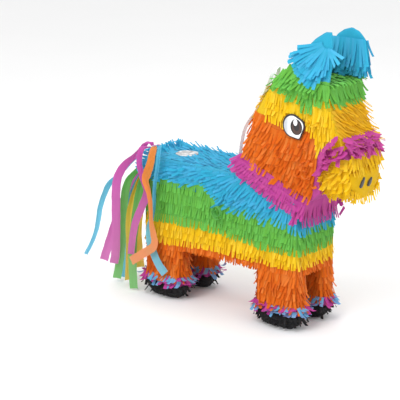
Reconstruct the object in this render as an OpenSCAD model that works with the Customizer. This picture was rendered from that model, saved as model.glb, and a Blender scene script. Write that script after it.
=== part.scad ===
// Donkey pinata: a hollow card body covered in bands of fringed tissue paper,
// with a flap for filling it, a ribbon to hang it by and a tail of streamers.
// Millimetres. +X is the way the donkey faces, +Z is up, Y = 0 is its mid-plane.

/* [Card] */
// Thickness of the card
card_t = 2.5; // [1.5:0.5:3]
// Half width of the trunk over its side panels
trunk_half = 56; // [52:1:58]
// Half width of the head over its side panels
head_half = 48; // [46:1:50]
// Half width of the muzzle box
muzzle_half = 42; // [38:1:43]

/* [Fringe] */
// Depth of the fringe on the trunk
trunk_fringe = 6; // [5:0.5:7]
// Depth of the fringe on the head
head_fringe = 5; // [4:0.5:6]
// Depth of the fringe on the trunk's sides
side_fringe = 5; // [4:0.5:6]

/* [Legs] */
// Height of a hoof
hoof_h = 26; // [22:1:30]
// Width of a leg tube across the donkey
leg_w = 30; // [28:1:32]
// Top of the hoof's paper trim
trim_top = 40; // [36:1:46]

/* [Ears] */
// Lean of the right ear towards the mid-plane
ear_lean = 22; // [0:1:25]
// Thickness of an ear's card
ear_t = 3; // [2:0.5:3]

/* [Filling hole] */
// Radius of the hole in the back
hole_r = 18; // [15:1:19]
// Radius of the flap over the hole
flap_r = 22; // [21:1:23]

/* [Tail] */
// Width of a streamer
streamer_w = 17; // [14:1:19]
// Thickness of a streamer
streamer_t = 0.6; // [0.4:0.1:0.8]
// Radius of the tie that bundles the streamers
tie_r = 6; // [5:0.5:6]

/* [Hanging ribbon] */
// Width of the ribbon
ribbon_w = 6; // [5:0.5:6]

/* [Hidden] */
$fn = 48;

card = [0.78, 0.68, 0.52];
sky = [0.24, 0.69, 0.86];
leaf = [0.37, 0.74, 0.35];
sun = [0.94, 0.78, 0.18];
tangerine = [0.94, 0.47, 0.16];
fuchsia = [0.80, 0.31, 0.63];
coal = [0.14, 0.14, 0.14];

// Trunk seen from the side, anticlockwise in X and Z
trunk_rear = -161;
trunk_front = 197;
belly_z = 112;
back_z = 270;
withers_x = 66;
chest_z = 235;
trunk_side = [
    [trunk_rear, belly_z], [trunk_front, belly_z], [trunk_front, chest_z],
    [withers_x, back_z], [trunk_rear + 11, back_z], [trunk_rear, back_z - 12]
];

// Head seen from the side; its base lies on the slope of the withers
nape_x = 71;
muzzle_x = 240;
nose_x = 299;
nose_z = 332;
crown_z = 455;
function withers_z(x) = back_z - (x - withers_x) * (back_z - chest_z) / (trunk_front - withers_x);
head_side = [
    [nape_x, withers_z(nape_x)], [trunk_front, chest_z], [213, 240], [muzzle_x, 262],
    [muzzle_x, nose_z], [nose_x, nose_z], [270, 381], [256, 424], [256, crown_z],
    [140, crown_z], [120, 424], [98, 388], [84, 343], [nape_x, 308]
];
muzzle_low = 258;

// Legs: centre and length along X, front pair then rear pair
front_leg = [153, 88];
rear_leg = [-117.5, 83];
leg_y = trunk_half - leg_w / 2;

// Ears seen from the side
ear_left_side = [
    [150, crown_z], [262, crown_z], [270, 500], [262, 524], [249, 536], [234, 541],
    [218, 536], [205, 527], [190, 508], [170, 482]
];
ear_right_side = [
    [150, crown_z], [254, crown_z], [251, 480], [245, 505], [239, 530], [233, 546],
    [220, 545], [203, 532], [187, 512], [170, 484]
];

// Edges between the bands of colour, from the rear to the front
blue_edge = [[-400, 222], [-18, 233], [-4, 212], [46, 198], [110, 199], [230, 178]];
green_edge = [[-400, 150], [28, 158], [105, 148], [230, 147]];
collar_low = [[40, 285], [53, 276], [106, 251], [144, 226], [191, 213], [230, 211]];
collar_top = [[40, 314], [74, 303], [134, 277], [191, 252], [230, 244]];
cheek_edge = [[40, 395], [102, 389], [148, 374], [212, 380], [225, 373], [229, 347], [232, 334]];
brow_edge = [[40, 460], [142, 444], [173, 432], [198, 415], [217, 415], [242, 430], [330, 424]];
muzzle_edge = [[236, 294], [262, 310], [284, 329], [330, 340]];
ring_top = [[232, 334], [250, 356], [330, 356]];

// Filling hole and tail tie
hole_x = -104;
flap_gap = 0.3;
tie_at = [-176, -8, 271];
tie_half = 13;
pin_r = 1;
pin_gap = 0.1;
arm_front = -130;

// Streamers: yaw of the strip's width at its start and end, then its route.
// Those of the tail leave the tie; the draped ones lie over the top of the rump.
pink_tail = [
    [90, 40, [[-177, -16, 278], [-180, -17, 285], [-193, -20, 284], [-204, -30, 264],
        [-224, -43, 240], [-234, -53, 216], [-234, -59, 190], [-232, -62, 152],
        [-232, -63, 108], [-234, -63, 64], [-239, -63, 42]]],
    [90, 30, [[-183.5, -4, 270], [-213, -5, 236], [-240, -10, 195], [-259, -15, 150],
        [-273, -22, 105], [-285, -27, 65], [-296, -30, 30]]]
];
blue_tail = [
    [75, 112, [[-182, -15, 275], [-209, -18, 258], [-230, -23, 241], [-252, -29, 216],
        [-266, -40, 199], [-272, -51, 180], [-279, -61, 150], [-283, -68, 112],
        [-294, -72, 78], [-307.4, -74, 52]]],
    [90, 25, [[-181, -5, 265], [-208, -7, 228], [-234, -12, 172], [-243, -18, 113],
        [-243, -27, 55], [-243, -34, 6]]]
];
green_tail = [
    [90, 38, [[-183.5, -15, 268], [-205, -22, 238], [-227, -31, 207], [-233, -38, 166],
        [-230, -43, 110], [-236, -47, 52], [-243, -50, 8]]],
    [90, 35, [[-178, -5, 263.5], [-200, -8, 225], [-216, -14, 180], [-224, -20, 130],
        [-225, -25, 80], [-226, -29, 8]]],
    [90, 30, [[-174, -15, 263], [-179, -34, 236], [-181, -50, 200], [-183, -59, 150],
        [-186, -65, 92], [-185, -67, 42], [-182, -68, 4]]],
    [90, 140, [[-182, 3, 274], [-200, 14, 246], [-216, 30, 200], [-226, 46, 150],
        [-230, 62, 90], [-234, 76.6, 22]]]
];
yellow_tail = [
    [90, 45, [[-180, -15, 264], [-194, -26, 231], [-206, -38, 191], [-211, -46, 142],
        [-205, -53, 86], [-206, -57, 14]]],
    [90, 30, [[-175, -5, 263], [-184, -20, 225], [-189, -34, 180], [-192, -44, 124],
        [-187, -47, 78], [-183, -46, 42]]],
    [90, 150, [[-180, 3, 264], [-198, 12, 222], [-206, 26, 170], [-210, 40, 110],
        [-212, 50, 40]]]
];
pink_drape = [
    [20, 5, [[-168, -32, 279.5], [-166, -48, 280.5], [-162, -63, 278], [-160, -70, 258],
        [-152, -69, 228], [-144, -69, 204], [-155, -72, 172], [-168, -74, 142],
        [-176, -75, 107], [-181, -75, 74]]]
];
orange_drape = [
    [35, 0, [[-159, -31, 281.5], [-147, -46, 283], [-134, -63, 281], [-131, -73, 262],
        [-139, -74, 242], [-142, -74, 228], [-131, -75, 207], [-124, -77, 184],
        [-122, -78, 151], [-119, -79, 125], [-121, -79, 103], [-145, -80, 85],
        [-176, -80, 64]]]
];
blue_drape = [
    [35, 8, [[-151, -30, 284], [-134, -45, 286], [-119, -62, 282], [-115, -69, 262],
        [-120, -69, 235], [-124, -68, 211], [-126, -68, 173], [-137, -68, 137],
        [-138, -69, 113], [-130, -70, 93], [-115, -71, 68], [-99, -72, 52]]]
];

// Route of the hanging ribbon, up from the back and down again
ribbon_route = [
    [28, -5, 277], [32, -10, 293], [42, -18, 320], [54, -25, 346], [66, -30, 364],
    [80, -34, 386], [94, -37, 412], [107, -38, 436], [116, -37, 455], [121, -30, 466],
    [123, -22, 469], [121, -14, 466], [115, -8, 455], [105, -7, 436], [92, -6, 412],
    [79, -5, 386], [65, -4, 362], [52, -2, 340], [42, 0, 315], [36, 3, 293], [33, 5, 277]
];

// Unit vectors and plane geometry
function unit(v) = v / norm(v);
function left_normal(p, q) = let (d = unit(q - p)) [-d[1], d[0]];
// Outline moved inwards by t; a negative t moves it outwards
function inset(outline, t) = let (count = len(outline)) [
    for (i = [0 : count - 1])
        let (before = left_normal(outline[(i + count - 1) % count], outline[i]),
             after = left_normal(outline[i], outline[(i + 1) % count]))
            outline[i] + (before + after) * t / (1 + before * after)
];
function pick(list, from, to) = [for (i = [from : to]) list[i % len(list)]];
function backwards(list) = [for (i = [len(list) - 1 : -1 : 0]) list[i]];

// Smooth curve through a list of points, with a number of steps for each span
function spline_point(p, i, t) = let (
    last = len(p) - 1,
    a = p[max(i - 1, 0)], b = p[i], c = p[min(i + 1, last)], d = p[min(i + 2, last)])
    0.5 * (2 * b + (c - a) * t + (2 * a - 5 * b + 4 * c - d) * t * t
        + (3 * b - a - 3 * c + d) * t * t * t);
function smooth(p, steps) = concat(
    [for (i = [0 : len(p) - 2], k = [0 : steps - 1]) spline_point(p, i, k / steps)],
    [p[len(p) - 1]]);
function direction(p, i) = unit(p[min(i + 1, len(p) - 1)] - p[max(i - 1, 0)]);

// A solid between two Y values whose outline is drawn in X and Z
module side_prism(outline, from, to)
    translate([0, to, 0]) rotate([90, 0, 0]) linear_extrude(height = to - from) polygon(outline);

// One folded strip of card along a run of an outline's edges
module wall_strip(outline, from, to, half)
    side_prism(concat(pick(outline, from, to + 1),
        backwards(pick(inset(outline, card_t), from, to + 1))), -half, half);

module side_panel(outline, half, side)
    side_prism(outline, side > 0 ? half - card_t : -half, side > 0 ? half : card_t - half);

module box(low, high) translate(low) cube(high - low);

// A body swept along a route: ring of points for each station, closed at both ends
module sweep(rings) {
    sides = len(rings[0]);
    last = len(rings) - 1;
    polyhedron(
        points = [for (ring = rings, p = ring) p],
        faces = concat(
            [[for (k = [sides - 1 : -1 : 0]) k]],
            [[for (k = [0 : sides - 1]) last * sides + k]],
            [for (i = [0 : last - 1], k = [0 : sides - 1])
                let (a = i * sides + k, b = i * sides + (k + 1) % sides, c = b + sides, d = a + sides)
                each k < sides / 2 ? [[a, b, c], [a, c, d]] : [[a, b, d], [b, c, d]]]));
}

// A streamer is narrow where it is gathered and full width further on
gathered_w = 8;
module streamer(spec) {
    path = smooth(spec[2], 3);
    last = len(path) - 1;
    sweep([for (i = [0 : last]) let (
        t = i / last,
        yaw = spec[0] + (spec[1] - spec[0]) * min(1, t * 1.6),
        along = direction(path, i),
        face = unit(cross(along, [cos(yaw), sin(yaw), 0])),
        half = (gathered_w + (streamer_w - gathered_w) * min(1, t * 5)) / 2 * cross(face, along),
        thick = face * streamer_t / 2)
        [path[i] - half - thick, path[i] + half - thick,
            path[i] + half + thick, path[i] - half + thick]]);
}

// A block along X whose lower edges are cut off, as the chin's are
chin_cut = [22, 28];
module muzzle_block(from, to, half, low, high)
    translate([from, 0, 0]) rotate([90, 0, 90]) linear_extrude(height = to - from)
        polygon([[half, high], [-half, high], [-half, low + chin_cut[1]], [chin_cut[0] - half, low],
            [half - chin_cut[0], low], [half, low + chin_cut[1]]]);

// Whole volumes that the fringe is laid over
module card_volume() {
    side_prism(trunk_side, -trunk_half, trunk_half);
    side_prism(head_side, -head_half, head_half);
    muzzle_block(muzzle_x - 1, nose_x, muzzle_half, muzzle_low, nose_z + 1);
    ear_card(1);
    ear_card(-1);
}

module fringed_volume() {
    side = trunk_half + side_fringe;
    head = head_half + head_fringe - 1;
    side_prism(inset(trunk_side, -trunk_fringe), -side, side);
    side_prism(inset(head_side, -head_fringe), -head, head);
    muzzle_block(muzzle_x - 1, nose_x + 10.5, muzzle_half + 4, muzzle_low - 6, nose_z + 4);
}

// The part of the fringe inside one zone of colour
module fringe_zone(zone) difference() {
    intersection() {
        fringed_volume();
        side_prism(zone, -100, 100);
    }
    card_volume();
}

module trunk_panel(side) color(card) side_panel(trunk_side, trunk_half, side);
module belly_strip() color(card) wall_strip(trunk_side, 0, 0, trunk_half - card_t);
module chest_strip() color(card) wall_strip(trunk_side, 1, 1, trunk_half - card_t);
module withers_strip() color(card) wall_strip(trunk_side, 2, 2, trunk_half - card_t);
module rump_strip() color(card) wall_strip(trunk_side, 4, 5, trunk_half - card_t);

module back_strip() color(card) difference() {
    wall_strip(trunk_side, 3, 3, trunk_half - card_t);
    translate([hole_x, 0, back_z - 10]) cylinder(r = hole_r, h = 20);
}

// Flap that closes the filling hole, creased along its rear edge
module fill_flap() color([0.9, 0.9, 0.88])
    translate([hole_x, 0, back_z + flap_gap]) cylinder(r = flap_r, h = 1.5);

// Room in the fringe for the flap and for its crease
module flap_recess() {
    translate([hole_x, 0, back_z - 1]) cylinder(r = flap_r + 3, h = 20);
    box([hole_x - flap_r - 13, -flap_r - 2, back_z - 1], [hole_x - 10, flap_r + 2, back_z + 19]);
}

module leg_block(leg, side, low, high)
    box([leg[0] - leg[1] / 2, side * leg_y - leg_w / 2, low],
        [leg[0] + leg[1] / 2, side * leg_y + leg_w / 2, high]);

module leg_tube(leg, side) color(card) difference() {
    leg_block(leg, side, hoof_h, belly_z);
    box([leg[0] - leg[1] / 2 + card_t, side * leg_y - leg_w / 2 + card_t, hoof_h - 1],
        [leg[0] + leg[1] / 2 - card_t, side * leg_y + leg_w / 2 - card_t, belly_z + 1]);
}

module round_block(size, r, h) linear_extrude(height = h)
    offset(r = r, $fn = 24) square([size[0] - 2 * r, size[1] - 2 * r], center = true);

// A hoof is boat shaped: a small flat sole that widens to the leg
sole = [56, 22];
module hoof(leg, side) color(coal) translate([leg[0], side * leg_y, 0]) hull() {
    round_block(sole, 8, 0.5);
    translate([0, 0, 8]) round_block([leg[1] + 2, 34], 10, 0.5);
    translate([0, 0, hoof_h - 0.5]) round_block([leg[1] + 6, 38], 6, 0.5);
}

module leg_fringe(leg, side) color(tangerine) difference() {
    side_prism([[leg[0] - leg[1] / 2 - 7, trim_top], [leg[0] + leg[1] / 2 + 7, trim_top],
        [leg[0] + leg[1] / 2 + 5, belly_z - trunk_fringe],
        [leg[0] - leg[1] / 2 - 5, belly_z - trunk_fringe]],
        side > 0 ? 22 : -60, side > 0 ? 60 : -22);
    leg_block(leg, side, hoof_h - 5, belly_z + 5);
}

module hoof_trim(leg, side) color([0.55, 0.5, 0.75]) difference() {
    side_prism([[leg[0] - leg[1] / 2 - 9, hoof_h], [leg[0] + leg[1] / 2 + 9, hoof_h],
        [leg[0] + leg[1] / 2 + 8, trim_top], [leg[0] - leg[1] / 2 - 8, trim_top]],
        side > 0 ? 19 : -64, side > 0 ? 64 : -19);
    leg_block(leg, side, hoof_h - 5, belly_z + 5);
}

module head_panel(side) color(card) side_panel(head_side, head_half, side);
module throat_strip() color(card) wall_strip(head_side, 1, 4, head_half - card_t);
module face_strip() color(card) wall_strip(head_side, 5, 7, head_half - card_t);
module crown_strip() color(card) wall_strip(head_side, 8, 8, head_half - card_t);
module nape_strip() color(card) wall_strip(head_side, 9, 12, head_half - card_t);

// Open at the rear, where it is glued to the head
module muzzle_box() color(card) difference() {
    muzzle_block(muzzle_x, nose_x, muzzle_half, muzzle_low, nose_z);
    muzzle_block(muzzle_x - 1, nose_x - card_t, muzzle_half - card_t, muzzle_low + card_t,
        nose_z - card_t);
}

// Lean of an ear about its foot on the crown
ear_y = 46;
module leaning(side) translate([0, side * ear_y, crown_z])
    rotate([side < 0 ? -ear_lean : 0, 0, 0]) translate([0, -side * ear_y, -crown_z]) children();

module ear_slab(side, grow, half) leaning(side)
    side_prism(inset(side < 0 ? ear_right_side : ear_left_side, -grow),
        side * ear_y - half, side * ear_y + half);

module above(z) intersection() {
    children();
    box([-400, -100, z], [400, 100, 700]);
}

module ear_card(side) above(crown_z) ear_slab(side, 0, ear_t / 2);

module ear(side) color(card) ear_card(side);

module ear_fringe(side) color(sky) difference() {
    above(crown_z + head_fringe + 0.3) ear_slab(side, 6, ear_t / 2 + 5);
    ear_card(side);
}

// Washer under the back that stops the ribbon pulling through
module ribbon_washer() color(card)
    translate([30, 0, back_z - card_t - 2]) cylinder(r = 14, h = 2);

module hang_ribbon() color([0.88, 0.88, 0.9]) {
    path = smooth(ribbon_route, 2);
    flat = 0.25;
    sweep([for (i = [0 : len(path) - 1]) let (
        along = direction(path, i),
        face = unit(cross(along, [0.77, 0.64, 0.02])),
        wide = cross(face, along))
        [for (a = [0 : 45 : 315])
            path[i] + (wide * cos(a) + face * sin(a) * flat) * ribbon_w / 2]]);
}

// Thread tied down on the back; the tail's tie hangs on it like a hinge on its pin
module thread_shape(r) {
    ends = [tie_at[1] - tie_half - 2.5, tie_at[1] + tie_half + 2.5];
    translate([tie_at[0], ends[0] - pin_r, tie_at[2]]) rotate([-90, 0, 0])
        cylinder(r = r, h = ends[1] - ends[0] + 2 * pin_r);
    for (y = ends) translate([tie_at[0], y, tie_at[2]]) rotate([0, 90, 0])
        cylinder(r = r, h = arm_front - tie_at[0]);
}

module tail_thread() color([0.9, 0.9, 0.9]) thread_shape(pin_r);

module tail_tie() color(fuchsia) translate([tie_at[0], tie_at[1] - tie_half, tie_at[2]])
    rotate([-90, 0, 0]) difference() {
        cylinder(r = tie_r, h = 2 * tie_half);
        translate([0, 0, -1]) cylinder(r = pin_r + pin_gap, h = 2 * tie_half + 2);
    }

module streamers(list) for (spec = list) streamer(spec);

// Printed card eye: a round with a blunt point low at the front
module eye(side) color([0.95, 0.95, 0.95]) {
    skin = head_half + head_fringe - 0.7;
    translate([0, side > 0 ? skin + 1 : -skin, 0]) rotate([90, 0, 0]) linear_extrude(height = 1)
        hull() {
            translate([182.5, 376.5]) circle(r = 21);
            translate([197, 379]) circle(r = 12.5);
            translate([196, 358.5]) circle(r = 5);
        }
}

// Two slanting ovals on the front of the muzzle, each between two points in Y and Z
nostril_ends = [[[-21.5, 282], [-13.5, 294]], [[1.5, 281], [8.5, 290]]];
module nostrils() color([0.25, 0.25, 0.27]) for (ends = nostril_ends)
    translate([nose_x + 10.8, 0, 0]) rotate([90, 0, 90]) linear_extrude(height = 0.6)
        hull() for (end = ends) translate(end) circle(r = 3, $fn = 24);

module fringe_body_blue() color(sky) difference() {
    fringe_zone(concat(blue_edge, backwards(collar_low), [[40, 330], [-400, 330]]));
    flap_recess();
    thread_shape(pin_r + 0.2);
}

module fringe_body_green() color(leaf) fringe_zone(concat(green_edge, backwards(blue_edge)));

module belly_block() box([trunk_rear, -trunk_half, belly_z - trunk_fringe],
    [trunk_front, trunk_half, belly_z]);

module fringe_body_yellow() color(sun) difference() {
    fringe_zone(concat([[-400, 90], [230, 90]], backwards(green_edge)));
    belly_block();
}

module fringe_belly_orange() color(tangerine) difference() {
    belly_block();
    for (leg = [front_leg, rear_leg], side = [-1, 1]) leg_block(leg, side, 0, 200);
}

module fringe_collar() color(fuchsia) fringe_zone(concat(collar_low, backwards(collar_top)));

module fringe_head_orange() color(tangerine)
    fringe_zone(concat(collar_top, [[236, 262], [236, 294]], backwards(cheek_edge)));

module fringe_head_yellow() color(sun)
    fringe_zone(concat(cheek_edge, pick(ring_top, 1, 2), backwards(brow_edge)));

module fringe_head_green() color(leaf)
    fringe_zone(concat(brow_edge, [[330, 640], [40, 640]]));

module fringe_muzzle_ring() color(fuchsia)
    fringe_zone(concat(muzzle_edge, backwards(ring_top)));

module fringe_muzzle_yellow() color(sun)
    fringe_zone(concat([[230, 200], [330, 200]], backwards(muzzle_edge), [[236, 262], [230, 244]]));

trunk_panel(-1);  // trunk_panel_right
trunk_panel(1);  // trunk_panel_left
belly_strip();
chest_strip();
withers_strip();
back_strip();
rump_strip();
leg_tube(front_leg, -1);  // leg_front_right
leg_tube(front_leg, 1);  // leg_front_left
leg_tube(rear_leg, -1);  // leg_rear_right
leg_tube(rear_leg, 1);  // leg_rear_left
hoof(front_leg, -1);  // hoof_front_right
hoof(front_leg, 1);  // hoof_front_left
hoof(rear_leg, -1);  // hoof_rear_right
hoof(rear_leg, 1);  // hoof_rear_left
head_panel(-1);  // head_panel_right
head_panel(1);  // head_panel_left
throat_strip();
face_strip();
crown_strip();
nape_strip();
muzzle_box();
ear(-1);  // ear_right
ear(1);  // ear_left
fill_flap();
ribbon_washer();
hang_ribbon();
tail_thread();
tail_tie();
color(fuchsia) streamers(pink_tail);  // tail_pink
color(sky) streamers(blue_tail);  // tail_blue
color(leaf) streamers(green_tail);  // tail_green
color(sun) streamers(yellow_tail);  // tail_yellow
color(fuchsia) streamers(pink_drape);  // drape_pink
color(tangerine) streamers(orange_drape);  // drape_orange
color(sky) streamers(blue_drape);  // drape_blue
eye(-1);  // eye_right
eye(1);  // eye_left
nostrils();
fringe_body_blue();
fringe_body_green();
fringe_body_yellow();
fringe_belly_orange();
leg_fringe(front_leg, -1);  // fringe_leg_front_right
leg_fringe(front_leg, 1);  // fringe_leg_front_left
leg_fringe(rear_leg, -1);  // fringe_leg_rear_right
leg_fringe(rear_leg, 1);  // fringe_leg_rear_left
hoof_trim(front_leg, -1);  // trim_front_right
hoof_trim(front_leg, 1);  // trim_front_left
hoof_trim(rear_leg, -1);  // trim_rear_right
hoof_trim(rear_leg, 1);  // trim_rear_left
fringe_collar();
fringe_head_orange();
fringe_head_yellow();
fringe_head_green();
ear_fringe(-1);  // fringe_ear_right
ear_fringe(1);  // fringe_ear_left
fringe_muzzle_ring();
fringe_muzzle_yellow();
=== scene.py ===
# Donkey pinata: tissue fringe, streamers, eyes and paper hooves over its card frame
import bpy
import math
import numpy as np
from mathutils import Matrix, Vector, noise


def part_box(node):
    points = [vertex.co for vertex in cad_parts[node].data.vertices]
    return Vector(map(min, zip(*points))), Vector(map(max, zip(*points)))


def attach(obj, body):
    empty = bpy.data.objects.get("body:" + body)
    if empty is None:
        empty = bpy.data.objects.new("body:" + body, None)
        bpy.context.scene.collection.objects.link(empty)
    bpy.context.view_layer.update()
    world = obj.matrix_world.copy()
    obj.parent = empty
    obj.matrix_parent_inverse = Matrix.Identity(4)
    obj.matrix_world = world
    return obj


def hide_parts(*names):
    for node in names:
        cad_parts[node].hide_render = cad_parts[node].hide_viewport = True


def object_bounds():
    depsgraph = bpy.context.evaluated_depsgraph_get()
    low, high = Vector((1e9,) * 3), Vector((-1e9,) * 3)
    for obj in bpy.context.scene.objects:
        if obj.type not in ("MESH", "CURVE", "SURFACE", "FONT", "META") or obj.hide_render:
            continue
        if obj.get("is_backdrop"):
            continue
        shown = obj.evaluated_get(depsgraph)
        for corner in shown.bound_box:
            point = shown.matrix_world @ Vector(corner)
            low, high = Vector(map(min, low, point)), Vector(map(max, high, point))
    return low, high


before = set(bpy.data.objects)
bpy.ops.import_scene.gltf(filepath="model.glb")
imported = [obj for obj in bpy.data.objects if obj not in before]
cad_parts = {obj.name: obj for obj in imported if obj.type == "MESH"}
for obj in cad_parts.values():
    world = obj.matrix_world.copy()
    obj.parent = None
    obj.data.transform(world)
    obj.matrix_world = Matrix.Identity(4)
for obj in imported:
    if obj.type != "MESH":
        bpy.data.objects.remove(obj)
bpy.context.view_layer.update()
print("frame loaded")

mm = 0.001
scene = bpy.context.scene

# Camera and studio
cameraSettings = dict(azimuth=40.05, elevation=15.4, distance=3.12, aim=(0.001, -0.088, 0.2173),
                      lens=154.3)


def towards(azimuth, elevation):
    a, e = math.radians(azimuth), math.radians(elevation)
    return np.array([math.sin(a) * math.cos(e), -math.cos(a) * math.cos(e), math.sin(e)])


def makeCamera(s):
    camera = bpy.data.objects.new("camera", bpy.data.cameras.new("camera"))
    scene.collection.objects.link(camera)
    away = towards(s["azimuth"], s["elevation"])
    camera.location = np.array(s["aim"]) + away * s["distance"]
    camera.rotation_euler = (math.radians(90 - s["elevation"]), 0, math.radians(s["azimuth"]))
    camera.data.lens = s["lens"]
    camera.data.sensor_width = 36
    camera.data.clip_end = 60
    scene.camera = camera


makeCamera(cameraSettings)

lightAim = np.array([0, 0, 0.25])
lightSettings = dict(
    key=dict(azimuth=8, elevation=48, distance=2.2, size=1.2, power=24),
    fill=dict(azimuth=85, elevation=28, distance=2.4, size=1.8, power=9),
    top=dict(azimuth=200, elevation=70, distance=2.2, size=1.6, power=10))


def makeLights(settings):
    for name, s in settings.items():
        lamp = bpy.data.objects.new(name + "Light", bpy.data.lights.new(name, "AREA"))
        scene.collection.objects.link(lamp)
        lamp.data.size = s["size"]
        lamp.data.energy = s["power"]
        lamp.location = lightAim + towards(s["azimuth"], s["elevation"]) * s["distance"]
        lamp.rotation_euler = (math.radians(90 - s["elevation"]), 0, math.radians(s["azimuth"]))


makeLights(lightSettings)
world = bpy.data.worlds.new("studio")
world.use_nodes = True
world.node_tree.nodes["Background"].inputs["Color"].default_value = (1, 1, 1, 1)
world.node_tree.nodes["Background"].inputs["Strength"].default_value = 1.0
scene.world = world
scene.view_settings.view_transform = "Standard"


# Node helpers: sockets that can be used in sums
class Wire:
    def __init__(self, maker, socket):
        self.maker, self.socket = maker, socket

    def joined(self, operation, left, right=None):
        vector = self.socket.type == "VECTOR"
        sockets = {0: left} if right is None else {0: left, 1: right}
        if operation == "SCALE":
            sockets = {0: left, "Scale": right}
        kind = "ShaderNodeVectorMath" if vector else "ShaderNodeMath"
        return self.maker.add(kind, {"operation": operation}, sockets)

    def __add__(self, other):
        return self.joined("ADD", self, other)

    def __radd__(self, other):
        return self.joined("ADD", other, self)

    def __sub__(self, other):
        return self.joined("SUBTRACT", self, other)

    def __rsub__(self, other):
        return self.joined("SUBTRACT", other, self)

    def __truediv__(self, other):
        return self.joined("DIVIDE", self, other)

    def __rtruediv__(self, other):
        return self.joined("DIVIDE", other, self)

    def __pow__(self, other):
        return self.joined("POWER", self, other)

    def __mul__(self, other):
        operation = "SCALE" if self.socket.type == "VECTOR" else "MULTIPLY"
        return self.joined(operation, self, other)

    __rmul__ = __mul__

    def least(self, other):
        return self.joined("MINIMUM", self, other)

    def most(self, other):
        return self.joined("MAXIMUM", self, other)

    def over(self, limit):
        return self.joined("GREATER_THAN", self, limit)

    def under(self, limit):
        return self.joined("LESS_THAN", self, limit)

    def sine(self):
        return self.joined("SINE", self)

    def cosine(self):
        return self.joined("COSINE", self)


class Maker:
    def __init__(self, tree):
        self.tree = tree

    def add(self, kind, settings=None, sockets=None, out=0):
        node = self.tree.nodes.new(kind)
        for name, value in (settings or {}).items():
            if name == "stops":
                while len(node.color_ramp.elements) < len(value):
                    node.color_ramp.elements.new(0.5)
                for element, (place, colour) in zip(node.color_ramp.elements, value):
                    element.position, element.color = place, (*colour, 1)
            else:
                setattr(node, name, value)
        for key, value in (sockets or {}).items():
            if isinstance(value, Wire):
                self.tree.links.new(value.socket, node.inputs[key])
            else:
                node.inputs[key].default_value = value
        return Wire(self, node.outputs[out])

    def attribute(self, name):
        return self.add("ShaderNodeAttribute", {"attribute_name": name}, out="Fac")

    def objectPoint(self):
        return self.add("ShaderNodeTexCoord", out="Object")

    def axis(self, vector, letter):
        return self.add("ShaderNodeSeparateXYZ", {}, {0: vector}, out="XYZ".index(letter))

    def mixed(self, share, first, second):
        return self.add("ShaderNodeMix", {"data_type": "RGBA"},
                        {"Factor": share, 6: first, 7: second}, out=2)

    def noise(self, point, scale, detail=2.0, roughness=0.5):
        return self.add("ShaderNodeTexNoise", {}, {
            "Vector": point, "Scale": scale, "Detail": detail, "Roughness": roughness})


def newMaterial(name):
    material = bpy.data.materials.new(name)
    material.use_nodes = True
    material.node_tree.nodes.clear()
    return material, Maker(material.node_tree)


def finishMaterial(maker, surface):
    output = maker.tree.nodes.new("ShaderNodeOutputMaterial")
    maker.tree.links.new(surface.socket, output.inputs["Surface"])


def finishPlain(maker, sockets):
    finishMaterial(maker, maker.add("ShaderNodeBsdfPrincipled", {}, sockets))


def bumped(maker, height, strength, distance):
    return maker.add("ShaderNodeBump", {}, {"Height": height, "Strength": strength, "Distance": distance})


# Paper and card finishes
colours = dict(
    blue=(0.052, 0.44, 0.68), green=(0.15, 0.50, 0.075), yellow=(0.88, 0.58, 0.014),
    # The darker gold below is the yellow tissue with painted shade, for the face fringe
    orange=(0.75, 0.165, 0.013), magenta=(0.54, 0.07, 0.33), gold=(0.80, 0.46, 0.010),
    black=(0.012, 0.012, 0.013), trimBlue=(0.13, 0.47, 0.74), card=(0.45, 0.30, 0.16),
    pinkStreamer=(0.62, 0.12, 0.42), blueStreamer=(0.15, 0.56, 0.78), greenStreamer=(0.14, 0.50, 0.11),
    yellowStreamer=(0.84, 0.58, 0.05), orangeStreamer=(0.90, 0.33, 0.08))


def tissue(name, colour, through=0.25, wander=0.16, creases=0.35, second=None, paintedBacklight=0.0):
    material, maker = newMaterial(name)
    point = maker.objectPoint()
    tint = maker.attribute("tint")
    cloud = maker.noise(point, 45.0, 3.0)
    base = (*colour, 1)
    if second:
        base = maker.mixed(tint.over(0.5), (*colour, 1), (*second, 1))
    # Painted backlight: below 0.25 m the colour is mixed towards a paler tint, lighter the lower it is
    if paintedBacklight:
        height = maker.axis(point, "Z")
        backlitShare = ((0.25 - height) * 5.0).most(0.0).least(1.0) * paintedBacklight
        base = maker.mixed(backlitShare, base, tuple(0.62 * c + 0.36 for c in colour) + (1,))
    value = 1.0 - wander * 0.75 + tint * wander + (cloud - 0.5) * wander * 1.2
    shaded = maker.add("ShaderNodeHueSaturation", {}, {
        "Hue": 0.5 + (tint - 0.5) * 0.012, "Saturation": 1.04 - tint * 0.06,
        "Value": value, "Color": base})
    crinkle = maker.noise(point, 420.0, 4.0, 0.6)
    normal = bumped(maker, crinkle, creases, 0.0006)
    paper = maker.add("ShaderNodeBsdfPrincipled", {}, {
        "Base Color": shaded, "Roughness": 0.78, "Sheen Weight": 0.08, "Sheen Roughness": 0.5,
        "Specular IOR Level": 0.25, "Normal": normal})
    glow = maker.add("ShaderNodeBsdfTranslucent", {}, {"Color": (*colour, 1)})
    finishMaterial(maker, maker.add("ShaderNodeMixShader", {}, {0: through, 1: paper, 2: glow}))
    return material


paper = {name: tissue(name + "Tissue", colours[name]) for name in
         ("blue", "green", "yellow", "gold", "orange", "magenta")}
paper["black"] = tissue("blackTissue", colours["black"], through=0.05, creases=0.8)
paper["trim"] = tissue("trimTissue", colours["magenta"], second=colours["trimBlue"])
# Streamers get painted backlight, paler towards their lower ends
for hue in ("pink", "blue", "green", "yellow", "orange"):
    paper[hue + "Streamer"] = tissue(hue + "Streamer", colours[hue + "Streamer"], 0.4, 0.10, 0.2,
                                     paintedBacklight=0.45)


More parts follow.
